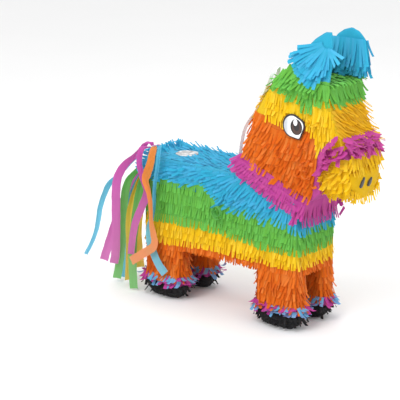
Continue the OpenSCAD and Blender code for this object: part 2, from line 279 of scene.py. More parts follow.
# Shapes shared by several pieces
def unit(v):
    v = np.asarray(v, float)
    return v / np.maximum(np.linalg.norm(v, axis=-1, keepdims=True), 1e-9)


def turnsOf(count):
    return np.linspace(0, 2 * math.pi, count, endpoint=False)


# How far along a line of points each of them is
def reachOf(points):
    steps = np.linalg.norm(np.diff(points, axis=0), axis=1)
    return np.concatenate([[0], np.cumsum(steps)])


def meshObject(name, points, faces, smooth=True):
    mesh = bpy.data.meshes.new(name)
    mesh.from_pydata(np.asarray(points, float) * mm, [], faces)
    mesh.polygons.foreach_set("use_smooth", [smooth] * len(mesh.polygons))
    piece = bpy.data.objects.new(name, mesh)
    scene.collection.objects.link(piece)
    return piece


def gridFaces(rows, columns, closed=False):
    faces = []
    for r in range(rows - 1):
        for c in range(columns if closed else columns - 1):
            n = (c + 1) % columns
            faces.append((r * columns + c, r * columns + n, (r + 1) * columns + n, (r + 1) * columns + c))
    return faces


def frozen(piece):
    graph = bpy.context.evaluated_depsgraph_get()
    mesh = bpy.data.meshes.new_from_object(piece.evaluated_get(graph))
    piece.modifiers.clear()
    old, piece.data = piece.data, mesh
    bpy.data.meshes.remove(old)
    mesh.name = piece.name
    return piece


def dressed(piece, material, body, slot, *nodes):
    if material:
        piece.data.materials.clear()
        piece.data.materials.append(material)
    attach(piece, body)
    if nodes:
        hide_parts(*nodes)
    return piece


# Fringe: one tree of nodes grows every strip
fringeInputs = dict(length=30.0, spread=0.18, pitch=5.2, header=8.0, gap=0.14, taper=0.1,
                    tiltLow=0.03, tiltHigh=0.16, curlLow=-0.15, curlHigh=0.45, skew=0.22,
                    twist=0.5, base=0.8, cup=0.12)


def growTree():
    tree = bpy.data.node_groups.new("tissueFringe", "GeometryNodeTree")
    face = tree.interface
    face.new_socket("Geometry", in_out="INPUT", socket_type="NodeSocketGeometry")
    for name, value in fringeInputs.items():
        face.new_socket(name, in_out="INPUT", socket_type="NodeSocketFloat").default_value = value
    face.new_socket("seed", in_out="INPUT", socket_type="NodeSocketInt")
    face.new_socket("paper", in_out="INPUT", socket_type="NodeSocketMaterial")
    face.new_socket("Geometry", in_out="OUTPUT", socket_type="NodeSocketGeometry")
    maker = Maker(tree)
    source = tree.nodes.new("NodeGroupInput")
    given = {s.name: Wire(maker, s) for s in source.outputs if s.name}

    def stored(geometry, name, value, kind="FLOAT"):
        return maker.add("GeometryNodeStoreNamedAttribute", {"data_type": kind, "domain": "POINT"},
                         {"Geometry": geometry, "Name": name, "Value": value})

    def read(name, kind="FLOAT"):
        return maker.add("GeometryNodeInputNamedAttribute", {"data_type": kind}, {"Name": name})

    place = maker.add("GeometryNodeInputPosition")
    grid = maker.add("GeometryNodeMeshGrid", {}, {
        "Size X": 1.0, "Size Y": 1.0, "Vertices X": 3, "Vertices Y": 8})
    strip = stored(stored(grid, "across", maker.axis(place, "X")), "down", maker.axis(place, "Y") + 0.5)
    roots = stored(given["Geometry"], "root", place, "FLOAT_VECTOR")
    for k, name in enumerate(("tint", "chanceTilt", "chanceCurl", "chanceLength", "chanceTwist")):
        chance = maker.add("FunctionNodeRandomValue", {"data_type": "FLOAT"},
                           {2: 0.0, 3: 1.0, "Seed": given["seed"] * 7 + k}, out=1)
        roots = stored(roots, name, chance)
    clump = maker.noise(place, 38.0, 2.0) - 0.5
    single = maker.add("FunctionNodeRandomValue", {"data_type": "FLOAT"},
                       {2: -0.5, 3: 0.5, "Seed": given["seed"] * 7 + 6}, out=1)
    roots = stored(roots, "sway", (clump * 2.6 + single * 0.9) * given["skew"])
    spread = maker.add("GeometryNodeInstanceOnPoints", {}, {"Points": roots, "Instance": strip})
    strips = maker.add("GeometryNodeRealizeInstances", {}, {0: spread})

    root, out, hang = (read(name, "FLOAT_VECTOR") for name in ("root", "out", "hang"))
    side = maker.add("ShaderNodeVectorMath", {"operation": "CROSS_PRODUCT"}, {0: hang, 1: out})
    across, down = read("across"), read("down")
    length = given["length"] * mm * read("size")
    header = given["header"] / given["length"]
    free = ((down - header) / (1.0 - header)).most(0.0)
    tilt = given["tiltLow"] + (given["tiltHigh"] - given["tiltLow"]) * read("chanceTilt")
    curl = given["curlLow"] + (given["curlHigh"] - given["curlLow"]) * read("chanceCurl")
    turned = tilt + curl * free
    loose = length * (1.0 - header) * (1.0 - given["spread"] * read("chanceLength"))
    along = length * down.least(header) + loose * (turned.sine() - tilt.sine()) / curl
    off = loose * (tilt.cosine() - turned.cosine()) / curl
    width = given["pitch"] * mm * (1.04 - given["gap"] * (free * 6.0).least(1.0) - given["taper"] * free)
    roll = given["twist"] * (read("chanceTwist") - 0.5) * 2.0 * free
    across = across * width
    sway = read("sway") * loose * free ** 1.4
    cup = given["cup"] * (width * 0.25 - across * across / width)
    moved = (root + hang * along + side * (across * roll.cosine() + sway)
             + out * (given["base"] * mm + off + across * roll.sine() + cup))
    shaped = maker.add("GeometryNodeSetPosition", {}, {"Geometry": strips, "Position": moved})
    done = maker.add("GeometryNodeSetMaterial", {}, {"Geometry": shaped, "Material": given["paper"]})
    end = tree.nodes.new("NodeGroupOutput")
    tree.links.new(done.socket, end.inputs[0])
    return tree


fringeTree = growTree()
socketOf = {item.name: item.identifier for item in fringeTree.interface.items_tree
            if item.in_out == "INPUT"}
seedCount = [0]


def fringe(name, rows, colour, *nodes, slot=None, **settings):
    data = np.vstack([r for r in rows if len(r)])
    mesh = bpy.data.meshes.new(name)
    mesh.from_pydata(data[:, :3] * mm, [], [])
    for label, values in (("out", unit(data[:, 3:6])), ("hang", unit(data[:, 6:9]))):
        layer = mesh.attributes.new(label, "FLOAT_VECTOR", "POINT")
        layer.data.foreach_set("vector", values.astype(np.float32).ravel())
    layer = mesh.attributes.new("size", "FLOAT", "POINT")
    layer.data.foreach_set("value", data[:, sizeColumn].astype(np.float32))
    piece = bpy.data.objects.new(name, mesh)
    scene.collection.objects.link(piece)
    modifier = piece.modifiers.new("fringe", "NODES")
    modifier.node_group = fringeTree
    seedCount[0] += 1
    for key, value in {**fringeInputs, **settings, "seed": seedCount[0]}.items():
        modifier[socketOf[key]] = value
    modifier[socketOf["paper"]] = paper[colour]
    frozen(piece)
    piece.data.polygons.foreach_set("use_smooth", [True] * len(piece.data.polygons))
    for spare in ("root", "out", "hang", "size", "chanceTilt", "chanceCurl", "chanceLength",
                  "chanceTwist", "sway", "across"):
        layer = piece.data.attributes.get(spare)
        if layer:
            piece.data.attributes.remove(layer)
    print(name, len(data), "strips")
    return dressed(piece, None, "body", slot or colour + "_tissue", *nodes)


# Rows of strips: each strip's place, outward direction, hanging direction and size
sizeColumn = 9
stripLength = fringeInputs["length"]


def resampled(columns, pitch):
    columns = np.asarray(columns, float)
    reach = reachOf(columns[:, :3])
    count = max(1, round(reach[-1] / pitch))
    at = (np.arange(count) + 0.5) * reach[-1] / count
    return np.stack([np.interp(at, reach, c) for c in columns.T], axis=1)


def row(points, outs, hangs, pitch=5.2, size=1.0):
    points = np.asarray(points, float)
    outs = np.broadcast_to(outs, points.shape)
    hangs = np.broadcast_to(hangs, points.shape)
    made = resampled(np.hstack([points, outs, hangs]), pitch)
    return np.hstack([made, np.full((len(made), 1), size)])


def inside(x, z, outline):
    hit = np.zeros(len(x), bool)
    for (ax, az), (bx, bz) in zip(outline, outline[1:] + outline[:1]):
        cross = (az > z) != (bz > z)
        with np.errstate(divide="ignore", invalid="ignore"):
            hit ^= cross & (x < (bx - ax) * (z - az) / (bz - az + 1e-12) + ax)
    return hit


cornerRadius = 6


def roundedPlan(low, high):
    radius, points = cornerRadius, []
    for k, (sx, sy) in enumerate(((1, -1), (1, 1), (-1, 1), (-1, -1))):
        centre = np.array([high[0] - radius if sx > 0 else low[0] + radius,
                           high[1] - radius if sy > 0 else low[1] + radius])
        for a in np.linspace(-90 + 90 * k, 90 * k, 5):
            n = np.array([math.cos(math.radians(a)), math.sin(math.radians(a))])
            points.append((*(centre + n * radius), *n))
    points.append(points[0])
    dense = []
    for p, q in zip(points, points[1:]):
        steps = max(1, int(np.hypot(q[0] - p[0], q[1] - p[1]) / 8))
        dense += [np.array(p) + (np.array(q) - np.array(p)) * k / steps for k in range(steps)]
    dense.append(np.array(points[0]))
    return np.array(dense)


def planLoop(low, high, heightAt, pitch=5.2, lean=0.0):
    plan = roundedPlan(low, high)
    height = heightAt(plan[:, 0]) if callable(heightAt) else np.full(len(plan), float(heightAt))
    outs = np.column_stack([plan[:, 2:4], np.zeros(len(plan))])
    hangs = outs * lean + np.array([0, 0, -1.0])
    return row(np.column_stack([plan[:, :2], height]), outs, hangs, pitch)


# Sizes of the card box, from the frame, in millimetres
def nodeBox(node):
    low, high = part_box(node)
    return np.array(low) / mm, np.array(high) / mm


trunkLow, trunkHigh = nodeBox("trunk_panel_right")
trunkHalf = -trunkLow[1]
trunkCorner = (trunkHigh[0], trunkHalf)
headLow, headHigh = nodeBox("head_panel_right")
headHalf = -headLow[1]
backZ, bellyZ = trunkHigh[2], trunkLow[2]
crownZ = headHigh[2]


def line(points):
    xs, zs = zip(*points)
    return lambda x: np.interp(x, xs, zs)


# Edges of the bands of colour seen from the side, on or near those of the CAD bands
blueEdge = line([(-400, 222), (-18, 233), (-4, 212), (46, 200), (110, 203), (230, 188)])
greenEdge = line([(-400, 150), (28, 158), (105, 148), (230, 147)])
collarLine = line([(40, 285), (53, 276), (106, 251), (144, 226), (191, 213), (230, 211)])
lowYellow = line([(-400, bellyZ + 18), (-120, bellyZ + 20), (-20, bellyZ + 29), (230, bellyZ + 29)])
withers = line([(66, backZ), (trunkHigh[0], 235)])
collarTurn = ([0, 53, 106, 150, 191], [14, 24, 52, 72, 88])     # X, and degrees below level there


def neckHang(x):
    turn = np.interp(x, *collarTurn)
    return np.column_stack([-np.cos(np.radians(turn)), np.zeros(len(x)), -np.sin(np.radians(turn))])


# Body bands
def bodyBand(top, bottom, count):
    rows = []
    for k in range(count):
        share = k / (count - 1)
        rows.append(planLoop(trunkLow, trunkCorner, lambda x: top(x) * (1 - share) + bottom(x) * share))
    return rows


fringe("tissueBodyYellow", bodyBand(lambda x: greenEdge(x) + 8, lowYellow, 3),
       "yellow", "fringe_body_yellow", skew=0.16)
fringe("tissueBodyGreen", bodyBand(lambda x: blueEdge(x) + 7, lambda x: greenEdge(x) + 20, 4),
       "green", "fringe_body_green", skew=0.16)


# The seal on the rump stays clear: strips in front of it are shorter, and none is rooted on it
sealSettings = dict(x=-104, clear=20, top=271.9, bottom=270.6, sides=64,
                    rings=[0.0, 3, 6, 9, 12, 15, 18, 20, 21.4, 21.8])


def clearSeal(made):
    clear = sealSettings["clear"]
    onTop = made[:, 2] > backZ - 3
    edge = sealSettings["x"] + np.sqrt(np.maximum(clear ** 2 - made[:, 1] ** 2, 0))
    ahead = onTop & (np.abs(made[:, 1]) < clear) & (made[:, 0] > edge)
    room = made[ahead, 0] - edge[ahead] + 2
    made[ahead, sizeColumn] = np.minimum(made[ahead, sizeColumn], room / stripLength)
    onSeal = onTop & (np.hypot(made[:, 0] - sealSettings["x"], made[:, 1]) < clear)
    return made[~onSeal & (made[:, sizeColumn] > 0.25)]


def blueRows():
    rows, flat = [], []
    for x in np.arange(56, trunkLow[0] + 6, -13.0):       # hoops over the back
        low = float(blueEdge(x)) + 4 if x < -20 else backZ - 16
        sweep = np.interp(x, [-160, -20, 60], [0.08, 0.3, 0.4])
        hoop, outs = [(-trunkHalf, low)], [(-1, 0)]
        turnY, turnZ = cornerRadius - trunkHalf, backZ - cornerRadius
        for a in np.linspace(180, 90, 5):
            n = (math.cos(math.radians(a)), math.sin(math.radians(a)))
            hoop.append((turnY + n[0] * cornerRadius, turnZ + n[1] * cornerRadius))
            outs.append(n)
        hoop += [(-y, z) for y, z in reversed(hoop)]
        outs += [(-y, z) for y, z in reversed(outs)]
        points = [(x, y, z) for y, z in hoop]
        normals = np.array([(0, y, z) for y, z in outs], float)
        hangs = np.array([(-1, 0, -sweep * abs(n[1])) for n in normals])
        made = clearSeal(row(points, normals, hangs))
        lying = (made[:, 2] > backZ - 9) & (made[:, 0] < -52) & (made[:, 0] > -148) & (made[:, 1] < 26)
        rows.append(made[~lying])
        flat.append(made[lying])
    for z in (backZ - 10, backZ - 24, backZ - 38):          # rump
        rows.append(row([(trunkLow[0], y, z) for y in (-trunkHalf, trunkHalf)], (-1, 0, 0), (-0.2, 0, -1)))
    step = 13
    for side in (-1, 1):                                    # neck, in lines below the collar
        for k in range(6):
            x = np.linspace(50, trunkHigh[0] + 2, 30)
            hang = neckHang(x)
            px, pz = x + hang[:, 0] * step * k, collarLine(x) + 8 + hang[:, 2] * step * k
            made = row(np.column_stack([px, np.full(len(x), side * trunkHalf), pz]), (0, side, 0), hang)
            keep = (made[:, 2] > blueEdge(made[:, 0]) + 10) & (made[:, 0] > -22) & (made[:, 2] < backZ - 4)
            keep &= made[:, 2] < withers(made[:, 0]) - 2
            rows.append(made[keep])
    for z in (216, 202):                                     # chest
        rows.append(row([(trunkHigh[0], y, z) for y in (-trunkHalf, trunkHalf)], (1, 0, 0), (0, 0, -1)))
    return rows, flat


looseBlue, flatBlue = blueRows()
fringe("tissueBodyBlue", looseBlue, "blue", "fringe_body_blue",
       tiltLow=0.02, tiltHigh=0.25, skew=0.34)
fringe("tissueBackFlat", flatBlue, "blue", "fringe_body_blue",
       tiltLow=0.0, tiltHigh=0.05, curlLow=-0.02, curlHigh=0.06, skew=0.30, base=0.5)
tufts = [row([(x, -50, backZ - 1), (x, 50, backZ - 1)], (0, 0, 1), (-1, 0, 0.1), 6.5)
         for x in (-138, -146, -152)]
tufts += [row([(x, 24, backZ), (x, 52, backZ)], (0, 0, 1), (-1, 0, 0.1), 7.0) for x in (-60, -84, -108)]
standing = [row([(x, -44, backZ - 3), (x, 44, backZ - 3)], (-1, 0, 0), (-0.25, 0, 1), 6.0)
            for x in (-149, -154)]
fringe("tissueRump", standing, "blue", "fringe_body_blue", length=19.0, header=2.0,
       tiltLow=-0.1, tiltHigh=0.5, curlLow=-0.6, curlHigh=0.4, skew=0.8, twist=0.8, spread=0.5)
fringe("tissueTufts", tufts, "blue", "fringe_body_blue", length=20.0, header=2.0,
       tiltLow=0.2, tiltHigh=0.8, curlLow=-0.5, curlHigh=0.6, skew=0.6, twist=0.8, spread=0.4)


# Belly and legs
def bellyRows():
    rows = [planLoop(trunkLow, trunkCorner, lambda x: lowYellow(x) - 16),
            planLoop((trunkLow[0] + 8, 8 - trunkHalf), (trunkHigh[0] - 8, trunkHalf - 8), bellyZ + 6)]
    for x in np.arange(trunkHigh[0] - 10, trunkLow[0] + 20, -15.0):
        rows.append(row([(x, y, bellyZ) for y in (8 - trunkHalf, trunkHalf - 8)], (0, 0, -1), (-1, 0, 0)))
    return rows


fringe("tissueBellyOrange", bellyRows(), "orange", "fringe_belly_orange",
       length=24.0, curlHigh=0.5, tiltHigh=0.2)

legs = [(end, side, end + side.title()) for end in ("front", "rear") for side in ("right", "left")]
trimSettings = dict(length=19.0, header=2.0, pitch=8.0, tiltLow=0.2, tiltHigh=0.8, curlLow=-0.2,
                    curlHigh=2.2, twist=0.7, skew=0.45, spread=0.35, gap=0.06, taper=0.0, cup=0.3)
for end, side, name in legs:
    low, high = nodeBox(f"leg_{end}_{side}")
    legRows = [planLoop(low, high, z, lean=lean) for z, lean in
               ((109, 0.02), (96, 0.04), (83, 0.08), (70, 0.16), (58, 0.28))]
    fringe("tissueLeg" + name, legRows, "orange", f"fringe_leg_{end}_{side}",
           length=28.0, tiltHigh=0.28, curlHigh=0.6, skew=0.5)
    grown = (low - (4, 4, 0), high + (4, 4, 0))
    trimRows = [planLoop(*grown, z, pitch=6.4, lean=0.3) for z in (45, 38)]
    fringe("tissueTrim" + name, trimRows, "trim", f"trim_{end}_{side}", **trimSettings)
print("belly and legs done")


# Hooves of crumpled paper
def crumple(points, amount, scale, offset=0.0):
    moved = []
    for p in points:
        q = Vector(p) * scale + Vector((offset, 0, 0))
        folds = 1 - 2 * abs(noise.noise(q)) + 0.5 * (1 - 2 * abs(noise.noise(q * 2.3)))
        moved.append(folds * amount)
    return np.array(moved)


hoofSettings = dict(height=26, sides=72, topWidth=38, sole=(56, 22), folds=2.4, inset=0.8,
                    lengths=dict(front=88, rear=83))


def hoof(name, low, high, topSize):
    centre, soleSize, sides = (low + high) / 2, hoofSettings["sole"], hoofSettings["sides"]
    rings = [(0.0, 0.0), (0.0, 0.55), (0.0, 0.97), (0.04, 1.0)] + [(k / 9, 1.0) for k in range(1, 9)]
    rings += [(1.0, 0.97), (1.0, 0.5), (1.0, 0.0)]
    points, outward = [], []
    for h, scale in rings:
        half = (np.array(soleSize) * (1 - h ** 0.6) + np.array(topSize) * h ** 0.6) / 2
        for a in turnsOf(sides):
            c, s = math.cos(a), math.sin(a)
            reach = 1 / (abs(c) ** 5 + abs(s) ** 5) ** 0.2
            spot = half * np.array([c, s]) * reach * scale
            points.append((centre[0] + spot[0], centre[1] + spot[1], hoofSettings["height"] * h))
            outward.append((c, s) if 0 < h < 1 else (0, 0))
    points, outward = np.array(points), np.array(outward)
    push = crumple(points, hoofSettings["folds"], 0.09, centre[0]) - hoofSettings["inset"]
    points[:, :2] += outward * push[:, None]
    points[:, 2] = np.maximum(points[:, 2], 0.0)
    return meshObject(name, points, gridFaces(len(rings), sides, closed=True), smooth=False)


for end, side, name in legs:
    low, high = nodeBox(f"hoof_{end}_{side}")
    topSize = (hoofSettings["lengths"][end] + 6, hoofSettings["topWidth"])
    piece = hoof("hoof" + name, low, high, topSize)
    dressed(piece, paper["black"], "body", "black_tissue", f"hoof_{end}_{side}")
    middle = (low + high) / 2
    spread = np.array([*topSize, 0]) / 2
    shreds = [planLoop(middle - spread, middle + spread, 27, pitch=9, lean=0.2),
              planLoop(middle - spread * 0.85, middle + spread * 0.85, 17, pitch=12, lean=0.4)]
    fringe("hoofShreds" + name, shreds, "black", length=15.0, pitch=7.0,
           header=1.0, tiltHigh=0.6, curlLow=-0.8, curlHigh=1.4, twist=0.9, skew=0.6, spread=0.5)
print("hooves done")


# Head: each side in zones
def eyeOutline(count=64, grow=0.0):
    circles = [((182.5, 376.5), 21), ((197, 379), 12.5), ((196, 358.5), 5)]
    points = []
    for a in turnsOf(count):
        n = np.array([math.cos(a), math.sin(a)])
        centre, radius = max(circles, key=lambda c: np.dot(c[0], n) + c[1])
        points.append(tuple(np.array(centre) + n * (radius + grow)))
    return points


eyeEdge = eyeOutline(grow=1.0)


def clearEye(made):
    for share in np.linspace(1.0, 0.0, 21):
        tip = made[:, [0, 2]] + unit(made[:, 6:9])[:, [0, 2]] * stripLength * share
        hit = inside(tip[:, 0], tip[:, 1], eyeEdge)
        made[hit, sizeColumn] = np.minimum(made[hit, sizeColumn], share - 0.03)
    return made[made[:, sizeColumn] > 0.28]


def sideRows(zone, top, turn, count, step=13.0, pitch=5.2, half=headHalf, lean=0.0, size=1.0):
    rows = []
    xs, zs = zip(*top)
    for side in (-1, 1):
        for k in range(count):
            x = np.linspace(xs[0], xs[-1], 40)
            angle = np.radians(np.interp(x, *turn))
            hang = np.column_stack([-np.cos(angle), lean * side + 0 * x, -np.sin(angle)])
            px = x + hang[:, 0] * step * k
            pz = np.interp(x, xs, zs) + hang[:, 2] * step * k
            along = np.column_stack([px, np.full(len(x), side * half), pz])
            made = row(along, (0, side, 0), hang, pitch, size)
            made = made[inside(made[:, 0], made[:, 2], zone)]
            rows.append(clearEye(made))
    return rows


# An ear leans about its foot: degrees, side, and the outline of its paper
earShapes = dict(
    left=dict(lean=0, side=1, outline=[(150, 455), (262, 455), (270, 500), (262, 524), (249, 536), (234, 541),
                                       (218, 536), (205, 527), (190, 508), (170, 482)]),
    right=dict(lean=22, side=-1, outline=[(176, 474), (250, 466), (251, 480), (245, 505), (239, 530),
                                          (233, 546), (220, 545), (203, 532), (187, 512), (174, 490)]))
earFootY, earFootZ = 46.0, 455.0
earMiddle = np.array([215.0, 480.0])
earFace = 4.4                            # from the middle of an ear to the roots of its strips


# Points on an ear, with its outward and upward directions
def earPoint(ear, x, offset, z):
    a = math.radians(ear["lean"])
    up = np.array([0, math.sin(a), math.cos(a)])
    outwards = np.array([0, ear["side"] * math.cos(a), -ear["side"] * math.sin(a)])
    x, offset, z = np.broadcast_arrays(x, offset, z)
    start = np.array([0, ear["side"] * earFootY, earFootZ])
    points = (start + x[:, None] * np.array([1, 0, 0]) + offset[:, None] * outwards
              + (z - earFootZ)[:, None] * up)
    return points, outwards, up


# Rows across the head, following its outline from one point to the next
def crossRows(profile, half, step=13.0, lean=0.0, slant=0.0, start=4.0, pitch=5.2):
    rows = []
    profile = np.array(profile, float)
    reach = reachOf(profile)
    for at in np.arange(start, reach[-1] - 2, step):
        k = min(int(np.searchsorted(reach, at, side="right")) - 1, len(profile) - 2)
        along = unit(profile[k + 1] - profile[k])
        x, z = profile[k] + along * (at - reach[k])
        outward = np.array([-along[1], 0, along[0]])
        if abs(outward[0]) > 0.3:
            outward *= np.sign(outward[0]) * (1 if x > 200 else -1)
        hang = np.array([along[0], slant, along[1]]) + outward * lean
        rows.append(row([(x, -half, z), (x, half, z)], outward, hang, pitch))
    return rows


cheekZone = [(98, 392), (148, 374), (212, 380), (225, 373), (229, 347), (232, 334), (238, 300), (240, 270),
             (230, 262), (191, 268), (134, 291), (74, 317), (71, 318), (84, 343)]
browZone = [(98, 396), (120, 424), (136, 448), (142, 444), (173, 433), (198, 416), (217, 416), (242, 431),
            (256, 427), (270, 381), (287, 357), (250, 364), (234, 346), (229, 360), (225, 382), (212, 390),
            (148, 386), (102, 400)]
crownZone = [(122, 430), (140, 458), (256, 458), (256, 440), (242, 443), (217, 428), (198, 428), (173, 443),
             (142, 454)]
cheekTop = [(92, 394), (102, 388), (148, 375), (212, 378), (240, 368)]
browTop = [(122, 444), (142, 443), (173, 431), (198, 414), (217, 414), (242, 428), (262, 427), (275, 400)]

cheekRows = sideRows(cheekZone, cheekTop, ([80, 150, 235], [66, 72, 82]), 9)
cheekRows += [row([(236, -headHalf, z), (236, headHalf, z)], (1, 0, 0), (0, 0, -1)) for z in (318, 300)]
napeSettings = dict(length=33.0, tiltLow=0.2, tiltHigh=0.65, curlLow=-0.9, curlHigh=0.35,
                    skew=0.45, spread=0.3)
fringe("tissueNapeOrange", crossRows([(98, 390), (84, 343), (71, 308)], headHalf + 1),
       "orange", "fringe_head_orange", **napeSettings)
fringe("tissueNapeYellow", crossRows([(140, 452), (120, 424), (98, 388)], headHalf + 1),
       "yellow", "fringe_head_yellow", **napeSettings)
fringe("tissueHeadOrange", cheekRows, "orange", "fringe_head_orange",
       skew=0.4, curlHigh=0.7, tiltHigh=0.22)

browRows = sideRows(browZone, browTop, ([110, 180, 270], [84, 90, 92]), 1)
fringe("tissueBrow", browRows, "yellow", "fringe_head_yellow",
       header=16.0, length=36.0, skew=0.15)
browRows = sideRows(browZone, [(x, z - 16) for x, z in browTop], ([110, 180, 270], [84, 92, 96]), 5)
fringe("tissueHeadYellow", browRows, "yellow", "fringe_head_yellow",
       skew=0.35, curlHigh=0.6)
faceRows = crossRows([(256, 424), (270, 381), (287, 353)], headHalf,
                     step=11.0, slant=0.8, start=2.0, pitch=4.4)
# Face fringe: yellow tissue painted darker gold, painted shade of the gaps between its strips
fringe("tissueFace", faceRows, "gold", "fringe_head_yellow", slot="yellow_tissue", pitch=4.2,
       header=4.0, gap=0.42, skew=0.3, curlLow=-0.3, curlHigh=0.6, tiltHigh=0.28, twist=0.8)

crownRows = sideRows(crownZone, [(136, 456), (200, 456), (256, 456)], ([140, 190, 250], [50, 82, 104]), 3)
crownRows += crossRows([(256, 455), (256, 430)], headHalf, step=12.0, slant=0.25)
fringe("tissueNapeGreen", crossRows([(156, 455), (140, 455), (126, 432)], headHalf + 1, step=12.0),
       "green", "fringe_head_green", **napeSettings)
for z, x0, x1 in ((482, 164, 196), (472, 152, 200), (461, 148, 240)):
    points, outwards, up = earPoint(earShapes["right"], np.linspace(x0, x1, 8), 3.0, float(z))
    crownRows.append(row(points, outwards, np.array([-0.45, 0, 0]) - up))
topRows = [row([(x, -headHalf, crownZ), (x, headHalf, crownZ)], (0, 0, 1), (1, 0, 0.05), 5.2,
               0.8 if x > 225 else 1.0) for x in np.arange(160, 250, 11.0)]
fringe("tissueCrownTop", topRows, "green", "fringe_head_green", header=3.0,
       tiltLow=0.15, tiltHigh=0.5, curlLow=-1.7, curlHigh=-0.7, skew=0.3)
fringe("tissueHeadGreen", crownRows, "green", "fringe_head_green",
       skew=0.35, tiltHigh=0.3)


# Loose curls that stand out from the neat rows, and one rolled up strip on the green band
def scattered(count, low, high, y, turn, seed):
    chance = np.random.default_rng(seed)
    x, z = chance.uniform(low[0], high[0], count), chance.uniform(low[1], high[1], count)
    angle = np.radians(chance.uniform(*turn, count))
    side = np.where(np.arange(count) % 3 == 2, 1.0, -1.0)
    zero = np.zeros(count)
    return clearEye(np.column_stack([x, side * y, z, zero, side, zero, -np.cos(angle), zero, -np.sin(angle),
                                     chance.uniform(0.6, 1.1, count)]))


curlSettings = dict(length=24.0, header=2.0, pitch=5.5, tiltLow=0.2, tiltHigh=0.9, curlLow=0.8, curlHigh=3.2,
                    twist=1.2, skew=0.5, spread=0.4, gap=0.1)
fringe("curlsOrange", [scattered(16, (196, 268), (236, 346), headHalf + 2, (40, 130), 3),
                       scattered(12, (150, 300), (225, 350), headHalf + 2, (40, 120), 5)],
       "orange", "fringe_head_orange", **curlSettings)
fringe("curlsYellow", [scattered(9, (206, 384), (236, 404), headHalf + 2, (50, 140), 8)],
       "yellow", "fringe_head_yellow", **curlSettings)
fringe("curlsBlue", [scattered(26, (-150, 226), (-10, 268), trunkHalf + 2, (-10, 40), 11),
                     scattered(14, (20, 206), (150, 236), trunkHalf + 2, (30, 90), 12)],
       "blue", "fringe_body_blue", **{**curlSettings, "curlLow": -0.6, "curlHigh": 1.2})
fringe("curlsGreen", [scattered(12, (-140, 160), (180, 196), trunkHalf + 2, (50, 120), 13)],
       "green", "fringe_body_green", **curlSettings)
looseMagenta = [scattered(4, (x, collarLine(x) - 4), (x + 30, collarLine(x) + 14), headHalf + 10, (30, 80), x)
                for x in (50, 80, 110, 140, 170, 195)]
fringe("curlsMagenta", looseMagenta,
       "magenta", "fringe_collar", **{**curlSettings, "curlLow": -0.8, "curlHigh": 1.6})

rollSettings = dict(centre=(24, -trunkHalf - 11.5, 194), width=9.0, turns=1.7, inner=4.0, grows=8.6)


def rolledStrip(name, s):
    steps, columns = 70, 7
    x, y, z = s["centre"]
    points = []
    for k in range(steps):
        t = k / (steps - 1)
        angle, radius = s["turns"] * 2 * math.pi * t + 1.2, s["inner"] + s["grows"] * t
        for u in np.linspace(-0.5, 0.5, columns):
            points.append((x + radius * math.cos(angle), y + u * s["width"] * (1 - 0.3 * t),
                           z + radius * math.sin(angle) * 1.15))
    return meshObject(name, points, gridFaces(steps, columns))


dressed(rolledStrip("greenRoll", rollSettings), paper["greenStreamer"], "body", "green_tissue",
        "fringe_body_green")


# Collar
def collarRows():
    rows = []
    top = [(40, 314), (74, 305), (134, 279), (191, 255), (215, 248), (230, 246)]
    zone = [(66, 330), (66, 262), (120, 232), (190, 205), (213, 205), (217, 262), (191, 262), (134, 290)]
    for k, (half, lean) in enumerate(((49, 0.3), (53, 0.22), (57.5, 0.05))):
        shifted = []
        for x, z in top:
            a = math.radians(np.interp(x, *collarTurn))
            shifted.append((x - math.cos(a) * 10 * k, z - math.sin(a) * 10 * k))
        size = 1.0 if k < 2 else 0.72
        rows += sideRows(zone, shifted, collarTurn, 1, half=half, lean=lean, size=size)
    rows += crossRows([(71, 310), (71, 272)], headHalf, step=12.0, lean=0.25)
    return rows


fringe("tissueCollar", collarRows(), "magenta", "fringe_collar",
       skew=0.3, curlHigh=0.5)
throatRows = [row([(215, -50, 250), (215, 50, 250)], (1, 0, -0.3), (-0.3, 0, -1)),
              row([(204, -54, 238), (204, 54, 238)], (1, 0, 0), (0, 0, -1))]
fringe("tissueThroat", throatRows, "magenta", "fringe_collar",
       header=22.0, length=48.0, skew=0.2)


# Ring round the top of the muzzle, and the muzzle
def ringRows():
    rows = []
    for side in (-1, 1):
        for points, turn in (([(238, 330), (248, 345), (262, 361), (276, 372)], 118),
                             ([(240, 318), (256, 336), (274, 350), (290, 356)], 104),
                             ([(238, 308), (256, 322), (276, 338), (298, 348)], 84)):
            a = math.radians(turn)
            rows.append(row([(x, side * (headHalf + 2), z) for x, z in points], (0.1, side, 0.2),
                            (-math.cos(a), 0.25 * side, -math.sin(a)), 7.0))
    for k, (x, z) in enumerate(((284, 366), (290, 359), (296, 352), (301, 343))):
        hang = (0.3, 0.5 - 0.3 * k, -0.8)
        rows.append(row([(x, -headHalf, z), (x, headHalf, z)], (0.8, 0, 0.5), hang, 8.0))
    return rows


fringe("tissueMuzzleRing", ringRows(), "magenta", "fringe_muzzle_ring",
       length=24.0, pitch=8.5, header=2.0, tiltLow=0.1, tiltHigh=0.7, curlLow=-0.9, curlHigh=1.7,
       twist=0.8, skew=0.7, spread=0.45, gap=0.05, taper=0.0, cup=0.25)

